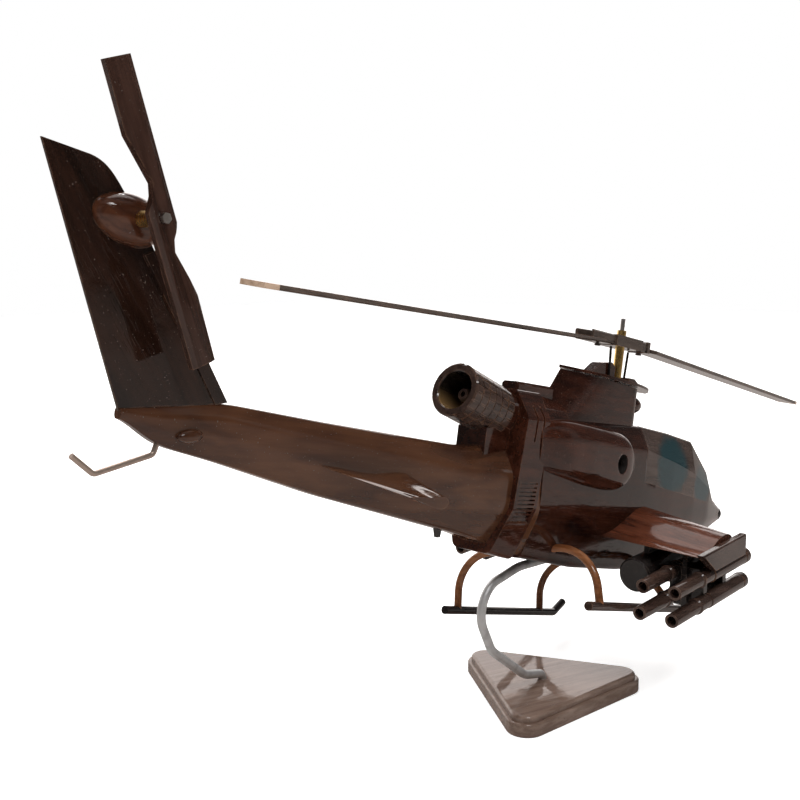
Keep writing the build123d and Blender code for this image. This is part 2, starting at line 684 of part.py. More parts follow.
def build():
    """Every node of the model, cut clear of its neighbours, in the aircraft's axes."""
    rod = stand_rod()
    hull = hull_solid(HULL)
    boom = hull_solid(BOOM, edge=1.6)
    gear = gear_place()
    bows = {
        "gear_bow_rear": gear * gear_bow(-34.0, 1.6, 17.0),
        "gear_bow_front": gear * gear_bow(33.5, 16.0, 14.0),
    }
    skids = {"skid_starboard": gear * skid_tube(), "skid_port": gear * mirrored(skid_tube())}
    house = doghouse()
    plate = deck_plate()
    engine = nacelle()
    pin = mast_pin()
    sight = nose_sight()
    gearbox = tail_gearbox()
    screw = tail_screw()
    wire = tail_skid()
    turret = chin_turret()
    right = {
        "wing": wing(),
        "end_plate": wing_end_plate(),
        "rocket_pod": rocket_pod(),
        "pod_pylon": pod_pylon(),
        "launcher_rack": launcher_rack(),
        "stabiliser": stabiliser(),
        "engine_cowl": cowl_side(),
        "boom_bump": boom_bump(),
    }
    tubes = launcher_tubes()

    nodes = {}
    canopy = hull & sill_block()
    nodes["canopy"] = carve(canopy, house)
    nodes["fuselage"] = carve(hull, sill_block(), house, rod, sight, turret, pin, *bows.values())
    nodes["doghouse"] = carve(house, pin, plate)
    nodes["deck_plate"] = carve(plate, pin)
    nodes["deck_fairing_rear"] = carve(deck_block_rear(), plate)
    nodes["deck_fairing_front"] = carve(deck_block_front(), plate)
    nodes["doghouse_boss"] = carve(deck_dome(), house)
    nodes["engine_housing"] = carve(engine, hull, house)
    nodes["tail_boom"] = carve(boom, hull, engine, gearbox, wire)
    nodes["engine_housing_tail"] = carve(nacelle_tail(), boom, engine)
    aft = nodes["engine_housing_tail"]
    nodes["deck_box"] = carve(deck_box(), engine, house)
    box = nodes["deck_box"]
    nodes["exhaust_can"] = carve(exhaust_can(), aft, engine)
    nodes["exhaust_duct"] = carve(exhaust_duct(), engine, aft, boom, box, exhaust_can())
    nodes["exhaust_plug"] = exhaust_plug()
    inside = [engine, boom, hull, house, aft, deck_box(), exhaust_duct(), exhaust_can()]
    nodes["cowl_band"] = cowl_band(inside)
    spine = fin_spine()
    nodes["fin_spine"] = carve(spine, boom, gearbox)
    nodes["tail_fin"] = carve(fin(), boom, spine, gearbox)
    nodes["tail_gearbox"] = carve(gearbox, screw)
    nodes["tail_screw"] = screw
    nodes["tail_skid"] = wire
    nodes["belly_aerial"] = carve(belly_aerial(), boom)
    nodes["nose_sight"] = sight
    nodes["gun_turret"] = carve(turret, chin_gun())
    nodes["turret_gun"] = chin_gun()
    nodes["stand_rod"] = rod
    nodes.update(bows)
    for name, skid in skids.items():
        nodes[name] = carve(skid, *bows.values())

    cuts = {
        "wing": [hull],
        "end_plate": [right["wing"]] + tubes,
        "rocket_pod": [],
        "pod_pylon": [right["wing"], right["rocket_pod"]],
        "launcher_rack": [right["wing"], right["end_plate"]] + tubes,
        "stabiliser": [boom],
        "engine_cowl": [hull, house, engine, band_ring()],
        "boom_bump": [boom],
    }
    for name, part in right.items():
        starboard = carve(part, *cuts[name])
        nodes[name + "_starboard"] = starboard
        nodes[name + "_port"] = mirrored(starboard)
    nodes["wing_port"] = carve(mirrored(wing(rolled=True)), hull)
    for name, reach in (("end_plate", 45), ("launcher_rack", 45), ("rocket_pod", 27), ("pod_pylon", 27)):
        nodes[name + "_port"] = raised(reach) * nodes[name + "_port"]
    for name in ("end_plate_port", "launcher_rack_port", "pod_pylon_port"):
        nodes[name] = carve(nodes[name], nodes["wing_port"])
    nodes["launcher_tubes_starboard"] = joined(*tubes)
    nodes["launcher_tubes_port"] = joined(*[raised(45) * mirrored(t) for t in tubes])

    nodes["mast_pin"] = pin
    rods = [control_rod(-3.2, -13.5), control_rod(3.2, 13.5)]
    nodes["control_rods"] = joined(*rods)
    nodes["deck_plate"] = carve(nodes["deck_plate"], *rods)
    washer = sleeve(mast_plane() - 0.4, mast_plane() + 1.0, 4.0, MAST_BORE_R)
    nodes["mast_washer"] = carve(washer, plate)
    nodes["mast_tube"] = sleeve(mast_plane() + 1.1, 5.4, MAST_TUBE_R, MAST_BORE_R)
    hub_bore = Cylinder(MAST_TUBE_R, 30)
    bolts = blade_bolts()
    blades = {"rotor_blade_front": blade(1), "rotor_blade_rear": blade(-1)}
    hub = yoke() - hub_bore
    for cut in bolts + list(blades.values()):
        hub -= cut
    nodes["rotor_yoke"] = max(hub.solids(), key=lambda s: s.volume)
    for name, part in blades.items():
        nodes[name] = carve(part, *bolts)
    nodes["blade_tips"] = joined(blade_tip(1), blade_tip(-1))
    nodes["blade_bolts"] = joined(*bolts)
    nodes["tail_rotor_blades"] = tail_blades()
    nodes["tail_bush"] = carve(tail_bush(), gearbox)
    return nodes


def write():
    """Place every node over the base and write it."""
    move = placed()
    nodes = {name: move * part for name, part in build().items()}
    base = base_plate() - nodes["stand_rod"]
    nodes["base_plate"] = max(base.solids(), key=lambda s: s.volume)
    for name, part in nodes.items():
        part.label = name
        export_step(part, f"parts/{name}.step")


write()
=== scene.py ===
"""Lacquered hardwood display model of an attack helicopter on a bent rod and a three-cornered base.

Lengths in the sections are the maker's millimetres in the aircraft's own axes: the origin at the rotor
head, X ahead, Y to port, Z up the mast.  `to_row` carries them into the frame of the base, in metres.
"""

import json
import math

import bpy
import numpy as np
from mathutils import Matrix, Vector


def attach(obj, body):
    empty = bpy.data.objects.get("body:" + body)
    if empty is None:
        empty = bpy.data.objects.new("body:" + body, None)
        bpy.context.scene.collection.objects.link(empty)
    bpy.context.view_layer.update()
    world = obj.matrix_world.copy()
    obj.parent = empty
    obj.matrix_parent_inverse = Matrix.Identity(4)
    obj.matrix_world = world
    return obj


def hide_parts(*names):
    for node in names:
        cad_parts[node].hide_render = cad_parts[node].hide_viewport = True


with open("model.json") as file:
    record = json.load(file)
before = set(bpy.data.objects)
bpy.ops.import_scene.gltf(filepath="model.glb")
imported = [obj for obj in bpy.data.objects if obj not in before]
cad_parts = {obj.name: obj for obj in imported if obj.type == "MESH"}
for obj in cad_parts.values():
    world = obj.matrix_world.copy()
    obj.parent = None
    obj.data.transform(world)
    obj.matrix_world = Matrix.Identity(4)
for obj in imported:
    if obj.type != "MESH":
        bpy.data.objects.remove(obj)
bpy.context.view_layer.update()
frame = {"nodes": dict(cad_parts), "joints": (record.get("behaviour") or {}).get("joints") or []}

# ---------------------------------------------------------------- base
# The base is a three-cornered plinth of solid mahogany, moulded with a stepped edge and sprayed with
# several coats of clear gloss.  The model's weight rests on it, and the rod is glued into its middle.

MM = 0.001
NOSE_DOWN = math.radians(10.9)
GLOSS_ROUGHNESS = 0.06
STREAKS = (26, 420, 420)  # waves to the metre along the grain and across it
FIGURE_CLOUDS = (18, 70, 70)
OPEN_PORES = (150, 2600, 2600)
PORE_COLOUR = (0.004, 0.002, 0.0015, 1)
DUST_COLOUR = (0.09, 0.07, 0.06, 1)
RIPPLE_WAVES = 110.0  # to the metre, as the two below
PEEL_WAVES = 620.0
DUST_WAVES = 2100.0
EDGE_PATCH_WAVES = 240.0
FILM_DEPTH = 0.00035


def new_group(name, inputs, outputs):
    """An empty node group with named inputs (name, socket type, default) and outputs (name, type)."""
    group = bpy.data.node_groups.new(name, "ShaderNodeTree")
    for label, kind, default in inputs:
        socket = group.interface.new_socket(label, in_out="INPUT", socket_type="NodeSocket" + kind)
        if default is not None:
            socket.default_value = default
    for label, kind in outputs:
        group.interface.new_socket(label, in_out="OUTPUT", socket_type="NodeSocket" + kind)
    return group


def node(tree, kind, links=(), **settings):
    """One node in a tree: settings are its properties, links are (input, value or socket)."""
    made = tree.nodes.new("ShaderNode" + kind)
    for key, value in settings.items():
        setattr(made, key, value)
    for key, value in links:
        if isinstance(value, bpy.types.NodeSocket):
            tree.links.new(value, made.inputs[key])
        else:
            made.inputs[key].default_value = value
    return made


def steps(tree, source, low, high):
    """A soft step of a value: 0 under low, 1 over high."""
    made = node(tree, "MapRange", [("Value", source), ("From Min", low), ("From Max", high)],
                interpolation_type="SMOOTHSTEP")
    return made.outputs["Result"]


def blend_colours(tree, factor, first, second):
    """Two colours mixed by a factor."""
    made = tree.nodes.new("ShaderNodeMix")
    made.data_type = "RGBA"
    for index, value in ((0, factor), (6, first), (7, second)):
        if isinstance(value, bpy.types.NodeSocket):
            tree.links.new(value, made.inputs[index])
        else:
            made.inputs[index].default_value = value
    return made.outputs[2]


def make_grain_group():
    """Wood grain: long streaks, short open pores and slow cloudy figure along the X of its vector."""
    group = new_group(
        "hardwood_grain",
        [("Vector", "Vector", None), ("Dark", "Color", (0.01, 0.004, 0.002, 1)),
         ("Light", "Color", (0.06, 0.02, 0.01, 1)), ("Figure", "Float", 0.5), ("Pores", "Float", 0.5)],
        [("Color", "Color"), ("Roughness", "Float"), ("Height", "Float")],
    )
    given = group.nodes.new("NodeGroupInput")
    out = group.nodes.new("NodeGroupOutput")
    long = node(group, "Mapping", [("Vector", given.outputs["Vector"]), ("Scale", STREAKS)])
    cloud = node(group, "Mapping", [("Vector", given.outputs["Vector"]), ("Scale", FIGURE_CLOUDS)])
    short = node(group, "Mapping", [("Vector", given.outputs["Vector"]), ("Scale", OPEN_PORES)])
    streak = node(group, "TexNoise", [("Vector", long.outputs[0]), ("Scale", 1.0), ("Detail", 5.0),
                                      ("Roughness", 0.62), ("Distortion", 0.5)])
    figure = node(group, "TexNoise", [("Vector", cloud.outputs[0]), ("Scale", 1.0), ("Detail", 2.0),
                                      ("Distortion", 1.0)])
    pore = node(group, "TexNoise", [("Vector", short.outputs[0]), ("Scale", 1.0), ("Detail", 1.0)])
    streaks = steps(group, streak.outputs["Fac"], 0.34, 0.68)
    clouds = steps(group, figure.outputs["Fac"], 0.36, 0.66)
    share = node(group, "Mix", [(0, given.outputs["Figure"]), (2, streaks), (3, clouds)])
    wood = blend_colours(group, share.outputs[0], given.outputs["Dark"], given.outputs["Light"])
    pores = steps(group, pore.outputs["Fac"], 0.6, 0.72)
    depth = node(group, "Math", [(0, pores), (1, given.outputs["Pores"])], operation="MULTIPLY")
    shaded = blend_colours(group, depth.outputs[0], wood, PORE_COLOUR)
    group.links.new(shaded, out.inputs["Color"])
    rough = node(group, "MapRange", [("Value", clouds), ("To Min", -0.02), ("To Max", 0.04)])
    group.links.new(rough.outputs["Result"], out.inputs["Roughness"])
    flip = node(group, "Math", [(0, 0.0), (1, depth.outputs[0])], operation="SUBTRACT")
    group.links.new(flip.outputs[0], out.inputs["Height"])
    return group


def make_lacquer_group():
    """Brushed and sprayed lacquer: slow ripples, finer orange peel, and a little settled dust."""
    group = new_group(
        "lacquer_film",
        [("Vector", "Vector", None), ("Ripple", "Float", 1.0), ("Peel", "Float", 0.08)],
        [("Height", "Float"), ("Dust", "Float")],
    )
    given = group.nodes.new("NodeGroupInput")
    out = group.nodes.new("NodeGroupOutput")
    wave = node(group, "TexNoise", [("Vector", given.outputs["Vector"]), ("Scale", RIPPLE_WAVES),
                                    ("Detail", 1.0)])
    peel = node(group, "TexNoise", [("Vector", given.outputs["Vector"]), ("Scale", PEEL_WAVES),
                                    ("Detail", 1.0)])
    dust = node(group, "TexNoise", [("Vector", given.outputs["Vector"]), ("Scale", DUST_WAVES),
                                    ("Detail", 0.0)])
    slow = node(group, "Math", [(0, wave.outputs["Fac"]), (1, given.outputs["Ripple"])],
                operation="MULTIPLY")
    fine = node(group, "Math", [(0, peel.outputs["Fac"]), (1, given.outputs["Peel"])],
                operation="MULTIPLY")
    total = node(group, "Math", [(0, slow.outputs[0]), (1, fine.outputs[0])], operation="ADD")
    group.links.new(total.outputs[0], out.inputs["Height"])
    group.links.new(steps(group, dust.outputs["Fac"], 0.79, 0.84), out.inputs["Dust"])
    return group


def make_edge_highlight_and_wear_group():
    """Painted edge highlight and rubbed wear: where a rounded normal departs from the true one, broken
    up by noise.
    """
    group = new_group(
        "rubbed_edges_and_painted_highlight",
        [("Vector", "Vector", None), ("Width", "Float", 0.0006), ("Amount", "Float", 0.6)],
        [("Mask", "Float")],
    )
    given = group.nodes.new("NodeGroupInput")
    out = group.nodes.new("NodeGroupOutput")
    eased = node(group, "Bevel", [("Radius", given.outputs["Width"])], samples=4)
    facing = node(group, "NewGeometry")
    dot = node(group, "VectorMath", [(0, eased.outputs[0]), (1, facing.outputs["Normal"])],
               operation="DOT_PRODUCT")
    edge = node(group, "MapRange", [("Value", dot.outputs["Value"]), ("From Min", 0.985),
                                    ("From Max", 0.8)])
    patch = node(group, "TexNoise", [("Vector", given.outputs["Vector"]), ("Scale", EDGE_PATCH_WAVES),
                                     ("Detail", 3.0)])
    broken = steps(group, patch.outputs["Fac"], 0.38, 0.6)
    mask = node(group, "Math", [(0, edge.outputs["Result"]), (1, broken)], operation="MULTIPLY")
    final = node(group, "Math", [(0, mask.outputs[0]), (1, given.outputs["Amount"])],
                 operation="MULTIPLY")
    group.links.new(final.outputs[0], out.inputs["Mask"])
    return group


GRAIN = make_grain_group()
LACQUER = make_lacquer_group()
EDGE_HIGHLIGHT_AND_WEAR = make_edge_highlight_and_wear_group()


def use_group(tree, group, links):
    """A node group placed in a material, with its own values."""
    placed = tree.nodes.new("ShaderNodeGroup")
    placed.node_tree = group
    for key, value in links:
        if isinstance(value, bpy.types.NodeSocket):
            tree.links.new(value, placed.inputs[key])
        else:
            placed.inputs[key].default_value = value
    return placed


def new_material(name, **constants):
    """A material with a Principled shader whose constant values are set on its own sockets."""
    material = bpy.data.materials.new(name)
    material.use_nodes = True
    shader = material.node_tree.nodes["Principled BSDF"]
    for key, value in constants.items():
        shader.inputs[key.replace("_", " ")].default_value = value
    return material, material.node_tree, shader


def grain_vector(tree, turn):
    """Object coordinates turned so that their X runs along the grain."""
    place = node(tree, "TexCoord")
    turned = node(tree, "Mapping", [("Vector", place.outputs["Object"]), ("Rotation", turn)],
                  vector_type="TEXTURE")
    return turned.outputs[0]


def lacquered_wood(name, dark, light, turn=(0, NOSE_DOWN, 0), figure=0.5, pores=0.14, ripple=1.0,
                   edge_rub_and_highlight=0.4, edge_rub_and_highlight_colour=(0.2, 0.11, 0.07, 1), roughness=GLOSS_ROUGHNESS, mirror=0.5):
    """Stained hardwood under clear gloss: grain, pores, edge rub with a painted edge highlight, and the
    ripple of the film.

    Dark and light are the colours of the grain, figure is the share of clouds against streaks, and
    mirror is how strongly the film reflects.
    """
    material, tree, shader = new_material(name, IOR=1.5, Specular_IOR_Level=mirror)
    vector = grain_vector(tree, turn)
    grain = use_group(tree, GRAIN, [("Vector", vector), ("Dark", (*dark, 1)), ("Light", (*light, 1)),
                                    ("Figure", figure), ("Pores", pores)])
    film = use_group(tree, LACQUER, [("Vector", vector), ("Ripple", ripple)])
    edge = use_group(tree, EDGE_HIGHLIGHT_AND_WEAR, [("Vector", vector), ("Amount", edge_rub_and_highlight)])
    # Edges take a lighter colour: painted highlight on the edges, broken up in patches like rubbed
    # wear.
    rubbed_and_highlit = blend_colours(tree, edge.outputs["Mask"], grain.outputs["Color"], edge_rub_and_highlight_colour)
    dusty = blend_colours(tree, film.outputs["Dust"], rubbed_and_highlit, DUST_COLOUR)
    tree.links.new(dusty, shader.inputs["Base Color"])
    rough = node(tree, "Math", [(0, grain.outputs["Roughness"]), (1, roughness)], operation="ADD")
    tree.links.new(rough.outputs[0], shader.inputs["Roughness"])
    height = node(tree, "Math", [(0, film.outputs["Height"]), (1, grain.outputs["Height"])],
                  operation="ADD")
    bump = node(tree, "Bump", [("Strength", 0.3), ("Distance", FILM_DEPTH),
                               ("Height", height.outputs[0])])
    tree.links.new(bump.outputs[0], shader.inputs["Normal"])
    return material


def dress(material, *names):
    """CAD nodes that keep their own shape take this material."""
    for name in names:
        shown = frame["nodes"][name]
        shown.data.materials.clear()
        shown.data.materials.append(material)


# Both grain colours of the base are lifted towards grey: the mahogany with a painted milky reflection
# of the white tent.
BASE_DARK_WITH_PAINTED_SHEEN = (0.130, 0.084, 0.064)
BASE_LIGHT_WITH_PAINTED_SHEEN = (0.235, 0.165, 0.132)
base_finish = lacquered_wood("base_mahogany_painted_sheen", BASE_DARK_WITH_PAINTED_SHEEN, BASE_LIGHT_WITH_PAINTED_SHEEN, turn=(0, 0, math.radians(-22)),
                             figure=0.4, ripple=0.7, edge_rub_and_highlight=0.5)
dress(base_finish, "base_plate")

# ---------------------------------------------------------------- stand rod
# The rod is soft aluminium bar, bent cold by hand into a swan neck.  Its drawn surface is dull white,
# with fine scratches along it; it is glued into the base below and into the belly above.

SCRATCHES = (300, 4200, 4200)  # waves to the metre along the bar and across it
SCRATCH_DEPTH = 0.00003
TARNISH_WAVES = 260.0


def drawn_metal(name, colour, roughness, metallic=1.0, turn=(0, 0, 0), tarnish=0.3,
                tarnish_colour=(0.3, 0.25, 0.2, 1)):
    """Drawn bar or wire: fine scratches, patchy tarnish and a slightly uneven gloss."""
    material, tree, shader = new_material(name, Metallic=metallic)
    vector = grain_vector(tree, turn)
    lines = node(tree, "Mapping", [("Vector", vector), ("Scale", SCRATCHES)])
    drawn = node(tree, "TexNoise", [("Vector", lines.outputs[0]), ("Scale", 1.0), ("Detail", 3.0)])
    cloud = node(tree, "TexNoise", [("Vector", vector), ("Scale", TARNISH_WAVES), ("Detail", 4.0)])
    patches = steps(tree, cloud.outputs["Fac"], 0.46, 0.72)
    amount = node(tree, "Math", [(0, patches), (1, tarnish)], operation="MULTIPLY")
    tint = blend_colours(tree, amount.outputs[0], (*colour, 1), tarnish_colour)
    tree.links.new(tint, shader.inputs["Base Color"])
    rough = node(tree, "MapRange", [("Value", drawn.outputs["Fac"]), ("To Min", roughness - 0.08),
                                    ("To Max", roughness + 0.12)])
    tree.links.new(rough.outputs["Result"], shader.inputs["Roughness"])
    bump = node(tree, "Bump", [("Strength", 0.5), ("Distance", SCRATCH_DEPTH),
                               ("Height", drawn.outputs["Fac"])])
    tree.links.new(bump.outputs[0], shader.inputs["Normal"])
    return material


rod_finish = drawn_metal("dull_aluminium", (0.60, 0.60, 0.60), 0.46, turn=(0, math.radians(-40), 0),
                         tarnish=0.45, tarnish_colour=(0.30, 0.30, 0.30, 1), metallic=0.75)
dress(rod_finish, "stand_rod")

# ---------------------------------------------------------------- fuselage
# The fuselage is carved from one block: flat flanks with rounded shoulders and a rounded keel, drawn
# down to a small nose.  Ahead of the mast it stops at the sill that the canopy block is glued on.

mast = next(joint for joint in frame["joints"] if joint["name"] == "main_rotor_spin")
HEAD = np.array(mast["pos_m"])
UP = np.array(mast["axis"])
PORT = np.array([0.0, 1.0, 0.0])
AHEAD = np.cross(PORT, UP)
FUSELAGE = np.array([  # X, then half width and Z at the top, shoulder, flank and keel
    (-71, 7.0, -37.0, 13.2, -44.0, 14.0, -72.0, 7.5, -92.2),
    (-30, 7.0, -36.6, 13.6, -44.0, 14.6, -74.0, 7.5, -97.6),
    (10, 8.0, -35.4, 13.2, -45.0, 14.2, -75.0, 7.5, -100.0),
    (40, 7.8, -37.0, 12.6, -50.0, 13.2, -76.0, 7.0, -99.0),
    (66, 7.4, -39.4, 11.6, -55.0, 11.8, -77.0, 6.0, -95.0),
    (89, 6.2, -53.0, 9.4, -62.0, 9.6, -77.0, 4.8, -88.5),
    (101, 4.6, -66.2, 6.8, -70.0, 7.0, -77.5, 3.8, -84.0),
    (122, 1.3, -73.2, 2.0, -74.4, 2.0, -77.0, 1.3, -78.4),
])
SILL_X = (12.0, 101.0)
SILL_Z = (-60.0, -70.0)
RING_STEP = 1.0
SHARP_ANGLE = math.radians(38)


def to_row(points):
    """Points in the aircraft's millimetres, carried into the row frame in metres."""
    x, y, z = np.moveaxis(np.asarray(points, float), -1, 0)
    return HEAD + MM * (x[..., None] * AHEAD + y[..., None] * PORT + z[..., None] * UP)


def put_surface(name, grid, body, finish, replaced=()):
    """A closed ring surface from a grid of points (rows along, columns round), with flat end caps.

    The first ring's area vector, the sum of the cross products of its points in turn, has to point
    away from the last ring; where it doesn't, every face is turned round.
    """
    rows, columns = grid.shape[:2]
    i, j = np.meshgrid(np.arange(rows - 1), np.arange(columns), indexing="ij")
    k = (j + 1) % columns
    corners = [i * columns + j, (i + 1) * columns + j, (i + 1) * columns + k, i * columns + k]
    faces = np.stack(corners, -1).reshape(-1, 4).tolist()
    faces.append(list(range(columns)))
    faces.append(list(range((rows - 1) * columns, rows * columns))[::-1])
    ring = grid[0] - grid[0].mean(axis=0)
    area = np.cross(ring, np.roll(ring, -1, axis=0)).sum(axis=0)
    if area @ (grid[0].mean(axis=0) - grid[-1].mean(axis=0)) < 0:
        faces = [face[::-1] for face in faces]
    mesh = bpy.data.meshes.new(name)
    mesh.from_pydata(grid.reshape(-1, 3).tolist(), [], faces)
    mesh.validate()
    mesh.shade_smooth()
    mesh.set_sharp_from_angle(angle=SHARP_ANGLE)
    mesh.materials.append(finish)
    shown = bpy.data.objects.new(name, mesh)
    bpy.context.scene.collection.objects.link(shown)
    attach(shown, body)
    if replaced:
        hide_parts(*replaced)
    return shown


def between_stations(table, xs, soften):
    """Each column of a station table, straight between stations and then softened along X."""
    columns = np.stack([np.interp(xs, table[:, 0], c) for c in table.T[1:]], -1)
    window = np.hanning(2 * soften + 3)[1:-1]
    window /= window.sum()
    padded = np.pad(columns, ((soften, soften), (0, 0)), mode="edge")
    return np.stack([np.convolve(c, window, mode="valid") for c in padded.T], -1)


def eased_rings(half, flat, cuts=5):
    """Closed outlines from half outlines (rows x corners x 2): straight sides, corners on parabolas.

    Each corner and two points on each side are the control points of a quadratic B-spline, so the
    outline touches the middle of every side and never leaves the polygon.
    """
    other = half[:, ::-1] * np.array([-1, 1])
    corners = np.concatenate([half, other], axis=1)
    following = np.roll(corners, -1, axis=1)
    control = np.stack([corners, corners + flat * (following - corners),
                        corners + (1 - flat) * (following - corners)], axis=2)
    control = control.reshape(len(half), -1, 2)
    before = (np.roll(control, 1, axis=1) + control) / 2
    after = (np.roll(control, -1, axis=1) + control) / 2
    t = np.linspace(0, 1, cuts, endpoint=False)[:, None]
    curve = (before[:, :, None] * (1 - t) ** 2 + 2 * control[:, :, None] * t * (1 - t)
             + after[:, :, None] * t ** 2)
    return curve.reshape(len(half), -1, 2)


def hull_grid(table, soften, flat=0.3):
    """Rings of points through a station table, in the aircraft's millimetres."""
    xs = np.arange(table[0, 0], table[-1, 0] + RING_STEP / 2, RING_STEP)
    columns = between_stations(table, xs, soften)
    rings = eased_rings(columns.reshape(len(xs), 4, 2), flat)
    x = np.broadcast_to(xs[:, None, None], rings.shape[:2] + (1,))
    return np.concatenate([x, rings], axis=-1)


hull_finish = lacquered_wood("hull_mahogany", (0.007, 0.0022, 0.0014), (0.034, 0.010, 0.005),
                             figure=0.55, ripple=1.0)
fuselage = hull_grid(FUSELAGE, soften=5)
sill = np.interp(fuselage[..., 0], SILL_X, SILL_Z)
under = np.where((fuselage[..., 0] > SILL_X[0]) & (fuselage[..., 0] < SILL_X[1]), sill, 0)
fuselage[..., 2] = np.minimum(fuselage[..., 2], under)
put_surface("fuselage_block", to_row(fuselage), "airframe", hull_finish, ["fuselage"])

# ---------------------------------------------------------------- canopy
# The canopy is a separate faceted block of the same wood.  Its panes are sprayed with a thin slate-blue
# tint that fades into brown at the frames, all under the same clear gloss.

PANE_TINT = (0.013, 0.037, 0.043, 1)
PANE_REACH = 1.25  # where the sprayed edge is half faded, as a share of the pane with its noise
PANE_EDGE = 0.2  # how far the edge fades each side of that
PANE_WAVES = 210.0
CANOPY_PANES = [  # X and Z of the middle, half length, half height
    (40.0, -52.0, 16.5, 13.0),
    (78.0, -60.0, 11.5, 9.0),
]


def pane_mask(tree, vector, centre, half):
    """A rounded pane in the aircraft's X and Z, with a ragged sprayed edge."""
    ragged = node(tree, "TexNoise", [("Vector", vector), ("Scale", PANE_WAVES), ("Detail", 4.0)])
    away = node(tree, "VectorMath", [(0, vector), (1, centre)], operation="SUBTRACT")
    scaled = node(tree, "VectorMath", [(0, away.outputs[0]), (1, half)], operation="DIVIDE")
    length = node(tree, "VectorMath", [(0, scaled.outputs[0])], operation="LENGTH")
    wobble = node(tree, "Math", [(0, ragged.outputs["Fac"]), (1, 0.5)], operation="MULTIPLY")
    total = node(tree, "Math", [(0, length.outputs["Value"]), (1, wobble.outputs[0])], operation="ADD")
    return steps(tree, total.outputs[0], PANE_REACH + PANE_EDGE, PANE_REACH - PANE_EDGE)


def canopy_material():
    """Lacquered wood with two sprayed panes."""
    made = lacquered_wood("canopy_tint", (0.040, 0.026, 0.021), (0.080, 0.056, 0.047), figure=0.6,
                          pores=0.1, ripple=0.8, edge_rub_and_highlight=0.3, mirror=0.3)
    tree = made.node_tree
    shader = tree.nodes["Principled BSDF"]
    place = node(tree, "TexCoord")
    turned = node(tree, "Mapping", [("Vector", place.outputs["Object"]), ("Location", tuple(HEAD)),
                                    ("Rotation", (0, NOSE_DOWN, 0))], vector_type="TEXTURE")
    colour = shader.inputs["Base Color"].links[0].from_socket
    for x, z, half_x, half_z in CANOPY_PANES:
        mask = pane_mask(tree, turned.outputs[0], (x * MM, 0, z * MM),
                         (half_x * MM, 1.0, half_z * MM))
        colour = blend_colours(tree, mask, colour, PANE_TINT)
    tree.links.new(colour, shader.inputs["Base Color"])
    return made


canopy_finish = canopy_material()
dress(canopy_finish, "canopy")

# ---------------------------------------------------------------- turret and sight
# The ball of the nose sight, the round turret under the nose and its short three-barrelled gun are
# turned separately and stained nearly black before the gloss.

dark_finish = lacquered_wood("blackened_wood", (0.004, 0.0035, 0.0035), (0.016, 0.012, 0.011),
                             edge_rub_and_highlight=0.5, edge_rub_and_highlight_colour=(0.12, 0.09, 0.07, 1))
dress(dark_finish, "gun_turret", "turret_gun", "nose_sight")

# ---------------------------------------------------------------- tail boom
# The boom is one tapering stick, oval in section, glued to the back of the fuselage and drawn to a
# point under the fin.

BOOM = np.array([  # columns as the fuselage's
    (-253, 1.0, -49.0, 1.4, -49.5, 1.4, -50.3, 1.0, -50.9),
    (-241, 1.8, -47.4, 2.8, -50.0, 2.8, -54.5, 1.8, -57.8),
    (-220, 2.2, -44.8, 4.2, -48.5, 4.4, -55.0, 2.4, -61.6),
    (-180, 2.8, -47.4, 6.0, -52.5, 6.4, -61.0, 3.2, -70.2),
    (-107, 4.0, -51.2, 10.8, -59.5, 11.6, -71.0, 5.0, -83.0),
    (-92, 4.4, -49.0, 12.4, -59.7, 13.2, -72.3, 5.9, -86.6),
    (-71, 5.0, -46.0, 13.0, -60.0, 13.9, -74.0, 7.2, -91.6),
])
boom_finish = lacquered_wood("boom_mahogany", (0.030, 0.012, 0.007), (0.078, 0.032, 0.015),
                             figure=0.75, pores=0.05, ripple=0.7)
put_surface("tail_boom_stick", to_row(hull_grid(BOOM, soften=8, flat=0.36)), "airframe", boom_finish,
            ["tail_boom"])

# ---------------------------------------------------------------- engine
# Two bulged cowls, the raised housing between them and the band round all three are separate pieces of
# mahogany; the exhaust can is turned, bored and then cut into tiles with a fine saw.

cowl_finish = lacquered_wood("cowl_mahogany", (0.011, 0.0034, 0.002), (0.050, 0.015, 0.008),
                             figure=0.5, ripple=0.9)
dress(cowl_finish, "engine_housing", "engine_housing_tail", "cowl_band", "deck_box",
      "exhaust_duct")

COWL = np.array([  # X, top Z, bottom Z, how far the side stands out
    (-76.0, -40.0, -57.0, 14.6),
    (-68.0, -37.6, -58.6, 16.4),
    (-58.0, -36.6, -60.0, 18.4),
    (-44.0, -37.0, -62.4, 19.3),
    (-28.0, -38.0, -64.2, 19.4),
    (-17.0, -39.2, -64.4, 19.3),
    (-10.5, -41.6, -62.6, 18.8),
    (-7.0, -45.0, -59.0, 17.6),
    (-5.6, -48.5, -55.6, 16.0),
])
COWL_INNER = 9.0  # the glued side, inside the fuselage
INTAKE = (-20.6, -52.3)
INTAKE_R = 4.1
INTAKE_FLOOR = 14.6
DRILL_REACH = 26.0  # how far out the drill stands, clear of the cowl
COWL_POWER = 3.4


def bulge_side(side):
    """One cowl: a section with a rounded outer half, a superellipse, swept along X.

    For each X the section runs round an angle v.  Y is the inner side plus the stand-out times cos v
    to the power 2 / 3.4, and Z is the middle plus half the height times sin v to the same power,
    with its sign kept.
    """
    xs = np.linspace(COWL[0, 0], COWL[-1, 0], 130)
    top, bottom, out = between_stations(COWL, xs, 12).T
    v = np.linspace(-math.pi / 2, math.pi / 2, 61)
    power = 2 / COWL_POWER
    across = np.abs(np.cos(v)) ** power
    up = np.sign(np.sin(v)) * np.abs(np.sin(v)) ** power
    middle, half = (top + bottom) / 2, (top - bottom) / 2
    y = COWL_INNER + (out - COWL_INNER)[:, None] * across
    z = middle[:, None] + half[:, None] * up
    x = np.broadcast_to(xs[:, None], y.shape)
    return np.stack([x, side * y, z], -1)


